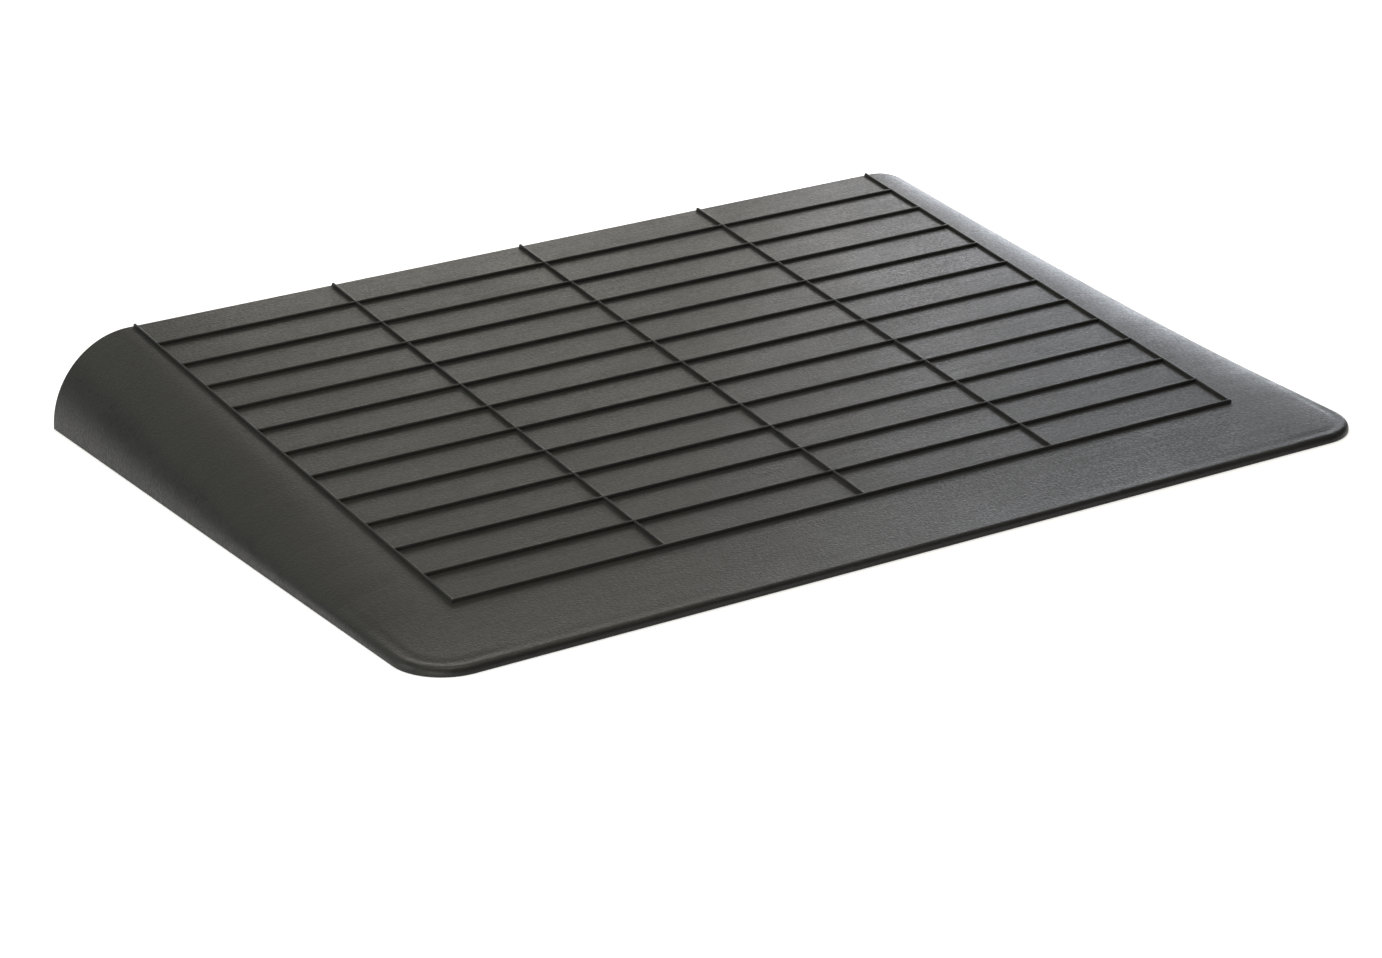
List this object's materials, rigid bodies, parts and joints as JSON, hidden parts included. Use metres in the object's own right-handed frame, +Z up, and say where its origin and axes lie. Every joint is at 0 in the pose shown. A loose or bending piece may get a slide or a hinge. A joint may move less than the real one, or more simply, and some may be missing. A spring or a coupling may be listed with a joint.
{
  "type": "curb ramp",
  "caption": "Free-standing black rubber curb ramp: a wedge with a ribbed tread, rounded wings and a low front lip, hollow below over wedge bearers.",
  "frame": {"origin": "on the ground under the middle of the footprint", "axes": "+X along the kerb, to the right for someone going up, +Y up the slope to the kerb, +Z up"},
  "size_m": [0.914, 0.617, 0.0795],
  "materials": {
    "cover_rubber": "satin",
    "panel_rubber": "matte",
    "bearer_plastic": "matte",
    "tie_aluminium": "satin",
    "foot_rubber": "matte",
    "screw_steel": "satin"
  },
  "bodies": {
    "root": {"ramp_cover": "cover_rubber", "kerb_panel": "panel_rubber", "bearer_1": "bearer_plastic", "bearer_2": "bearer_plastic", "bearer_3": "bearer_plastic", "bearer_4": "bearer_plastic", "bearer_5": "bearer_plastic", "cross_tie_1": "tie_aluminium", "cross_tie_2": "tie_aluminium", "cross_tie_3": "tie_aluminium", "foot_rear_1": "foot_rubber", "foot_rear_2": "foot_rubber", "foot_rear_3": "foot_rubber", "foot_rear_4": "foot_rubber", "foot_rear_5": "foot_rubber", "foot_front_1": "foot_rubber", "foot_front_2": "foot_rubber", "foot_front_3": "foot_rubber", "foot_front_4": "foot_rubber", "foot_front_5": "foot_rubber", "tie_screw_1_1": "screw_steel", "tie_screw_1_2": "screw_steel", "tie_screw_1_3": "screw_steel", "tie_screw_1_4": "screw_steel", "tie_screw_1_5": "screw_steel", "tie_screw_2_1": "screw_steel", "tie_screw_2_2": "screw_steel", "tie_screw_2_3": "screw_steel", "tie_screw_2_4": "screw_steel", "tie_screw_2_5": "screw_steel", "tie_screw_3_1": "screw_steel", "tie_screw_3_2": "screw_steel", "tie_screw_3_3": "screw_steel", "tie_screw_3_4": "screw_steel", "tie_screw_3_5": "screw_steel", "panel_screw_lower_1": "screw_steel", "panel_screw_lower_2": "screw_steel", "panel_screw_lower_3": "screw_steel", "panel_screw_lower_4": "screw_steel", "panel_screw_lower_5": "screw_steel", "panel_screw_upper_1": "screw_steel", "panel_screw_upper_2": "screw_steel", "panel_screw_upper_3": "screw_steel", "panel_screw_upper_4": "screw_steel", "panel_screw_upper_5": "screw_steel"}
  },
  "joints": []
}
